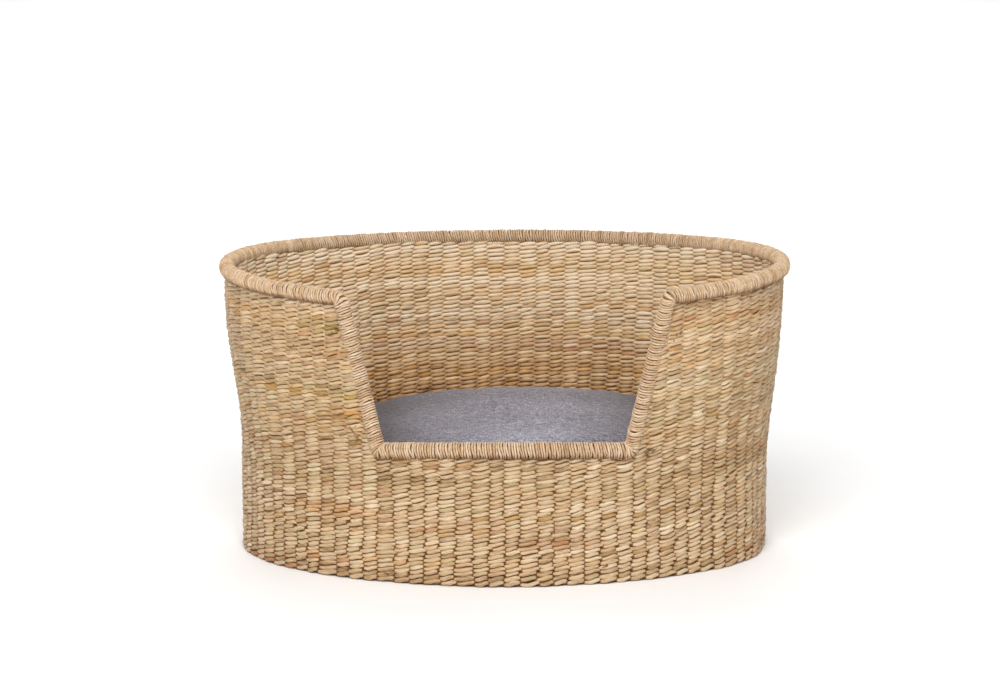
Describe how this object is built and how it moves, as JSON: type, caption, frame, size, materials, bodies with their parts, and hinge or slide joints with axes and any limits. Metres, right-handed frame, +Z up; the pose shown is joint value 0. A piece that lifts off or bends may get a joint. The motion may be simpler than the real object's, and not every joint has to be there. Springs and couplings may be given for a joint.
{
  "type": "wicker pet bed basket",
  "caption": "Oval twined wicker pet bed with a cut-down entry, a corded rim and a loose boxed cushion in a zipped grey cloth cover.",
  "frame": {"origin": "centre of the basket's footprint, on the ground", "axes": "+X to the right when looking at the entry, +Y from the entry towards the back wall, +Z up"},
  "size_m": [0.6184, 0.4344, 0.3139],
  "materials": {
    "seagrass_outer": "satin",
    "seagrass_inner": "satin",
    "cane_stakes": "matte",
    "binding_cord": "matte",
    "hoop_steel": "matte",
    "cushion_cloth": "matte",
    "filling": "matte",
    "zip_tape": "matte",
    "zip_coil": "satin",
    "zip_metal": "satin"
  },
  "bodies": {
    "basket": {"front_weave_outer": "seagrass_outer", "front_weave_inner": "seagrass_inner", "left_weave_outer": "seagrass_outer", "left_weave_inner": "seagrass_inner", "right_weave_outer": "seagrass_outer", "right_weave_inner": "seagrass_inner", "back_weave_outer": "seagrass_outer", "back_weave_inner": "seagrass_inner", "front_stakes": "cane_stakes", "left_stakes": "cane_stakes", "right_stakes": "cane_stakes", "back_stakes": "cane_stakes", "foot_course": "seagrass_outer", "foot_hoop": "hoop_steel", "floor_weave_under": "seagrass_inner", "floor_weave_upper": "seagrass_inner", "floor_long_rods": "cane_stakes", "floor_cross_rods": "cane_stakes", "rim_hoop": "hoop_steel", "rim_bundle": "cane_stakes", "binding_back": "binding_cord", "binding_left": "binding_cord", "binding_right": "binding_cord", "binding_left_front": "binding_cord", "binding_right_front": "binding_cord", "binding_left_post": "binding_cord", "binding_right_post": "binding_cord", "binding_sill": "binding_cord"},
    "cushion": {"cushion_filling": "filling", "cover_top": "cushion_cloth", "cover_band": "cushion_cloth", "cover_bottom": "cushion_cloth", "zip_tape_upper": "zip_tape", "zip_tape_lower": "zip_tape", "zip_coil": "zip_coil", "zip_stops": "zip_coil"},
    "slider": {"zip_slider": "zip_metal"},
    "pull": {"zip_pull": "zip_metal"}
  },
  "joints": [
    {"name": "cushion_lift", "type": "slide", "parent": "basket", "child": "cushion", "axis": [0, 0, 1], "range_m": [0, 0.33]},
    {"name": "zip_slide", "type": "hinge", "parent": "cushion", "child": "slider", "pos_m": [0, -0.177, 0.0594], "axis": [0, 0, -1], "range_deg": [0, 48]},
    {"name": "pull_swing", "type": "hinge", "parent": "slider", "child": "pull", "pos_m": [-0.14377, 0.1459, 0.02687], "axis": [0.9135, 0.4067, 0], "range_deg": [-38, 60]}
  ]
}
